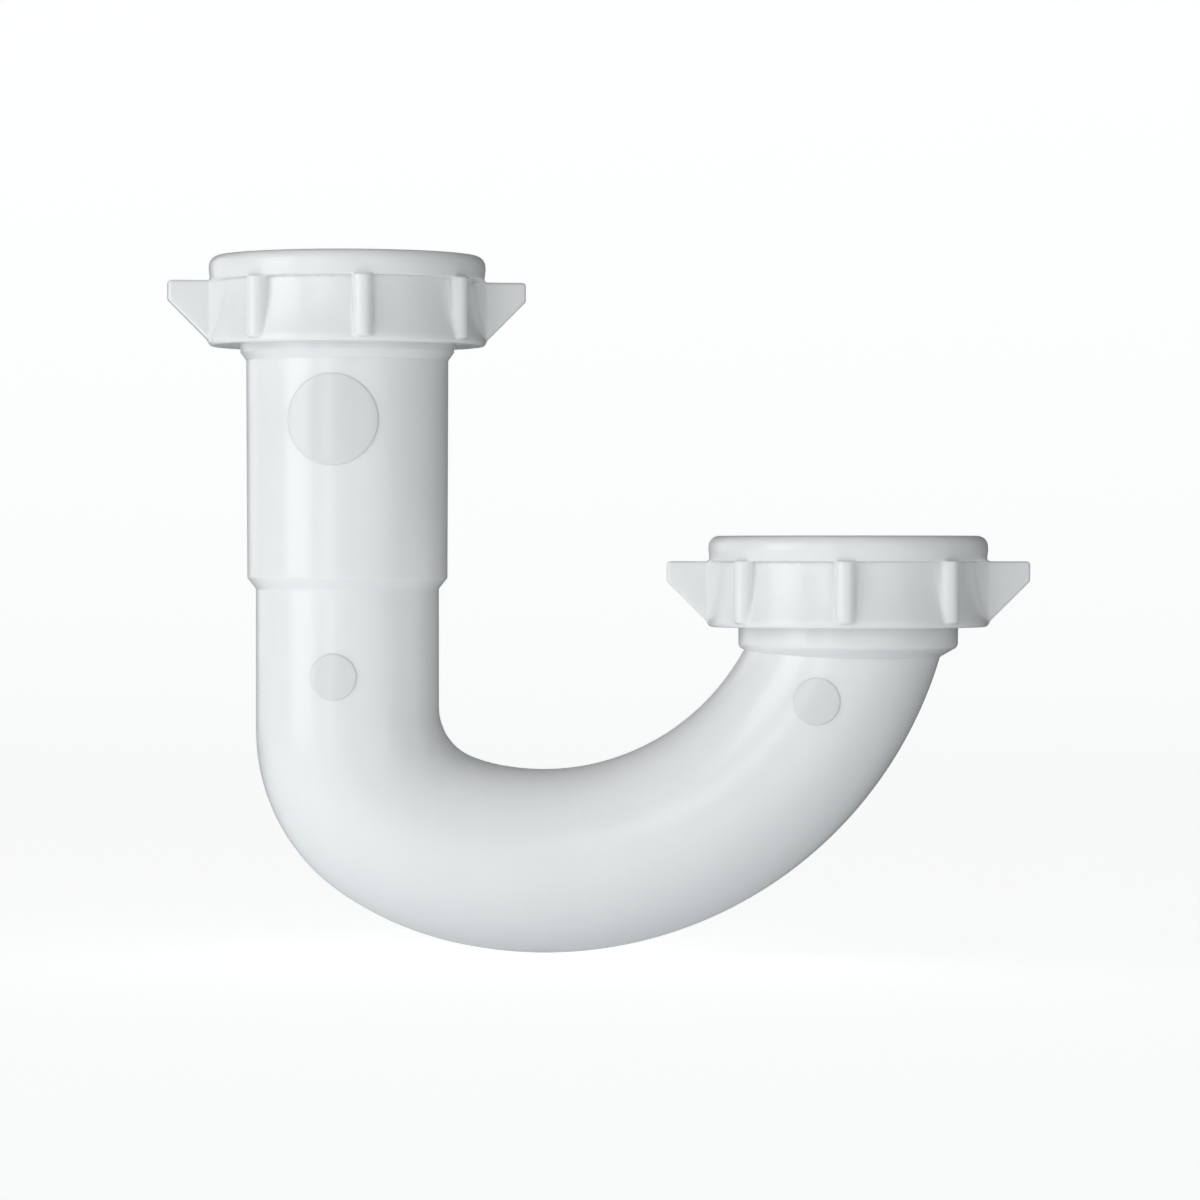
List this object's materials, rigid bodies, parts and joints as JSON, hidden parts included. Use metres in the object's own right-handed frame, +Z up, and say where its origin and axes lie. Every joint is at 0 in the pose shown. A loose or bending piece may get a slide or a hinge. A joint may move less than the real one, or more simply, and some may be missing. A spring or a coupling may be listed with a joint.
{
  "type": "p trap bend with slip nuts",
  "caption": "J-shaped drain trap bend in white plastic with winged slip nuts and tapered washers on its threaded mouths, for tubular slip-joint waste pipes under a sink.",
  "frame": {"origin": "midway between the inlet and outlet axes, level with the lowest point of the bend", "axes": "+Z up out of both mouths, +X from the inlet axis to the outlet axis, -Y the side with the round pads"},
  "size_m": [0.1796, 0.0608, 0.1459],
  "materials": {
    "bend_plastic": "glossy moulded polypropylene",
    "nut_plastic": "glossy moulded polypropylene",
    "washer_plastic": "soft satin polyethylene"
  },
  "bodies": {
    "bend": {"trap_bend": "bend_plastic"},
    "inlet_washer": {"inlet_slip_washer": "washer_plastic"},
    "inlet_nut": {"inlet_slip_nut": "nut_plastic"},
    "outlet_washer": {"outlet_slip_washer": "washer_plastic"},
    "outlet_nut": {"outlet_slip_nut": "nut_plastic"}
  },
  "joints": [
    {"name": "inlet_nut_travel", "type": "slide", "parent": "bend", "child": "inlet_washer", "axis": [0, 0, 1], "range_m": [0, 0.0116]},
    {"name": "inlet_nut_turn", "type": "hinge", "parent": "inlet_washer", "child": "inlet_nut", "pos_m": [-0.0526, 0, 0.127], "axis": [0, 0, 1], "range_deg": [0, 1890]},
    {"name": "outlet_nut_travel", "type": "slide", "parent": "bend", "child": "outlet_washer", "axis": [0, 0, 1], "range_m": [0, 0.0116]},
    {"name": "outlet_nut_turn", "type": "hinge", "parent": "outlet_washer", "child": "outlet_nut", "pos_m": [0.0526, 0, 0.0683], "axis": [0, 0, 1], "range_deg": [0, 1890]}
  ],
  "couplings": [
    {"joint": "inlet_nut_travel", "follows": "inlet_nut_turn", "m_per_rad": 0.00035152},
    {"joint": "outlet_nut_travel", "follows": "outlet_nut_turn", "m_per_rad": 0.00035152}
  ]
}
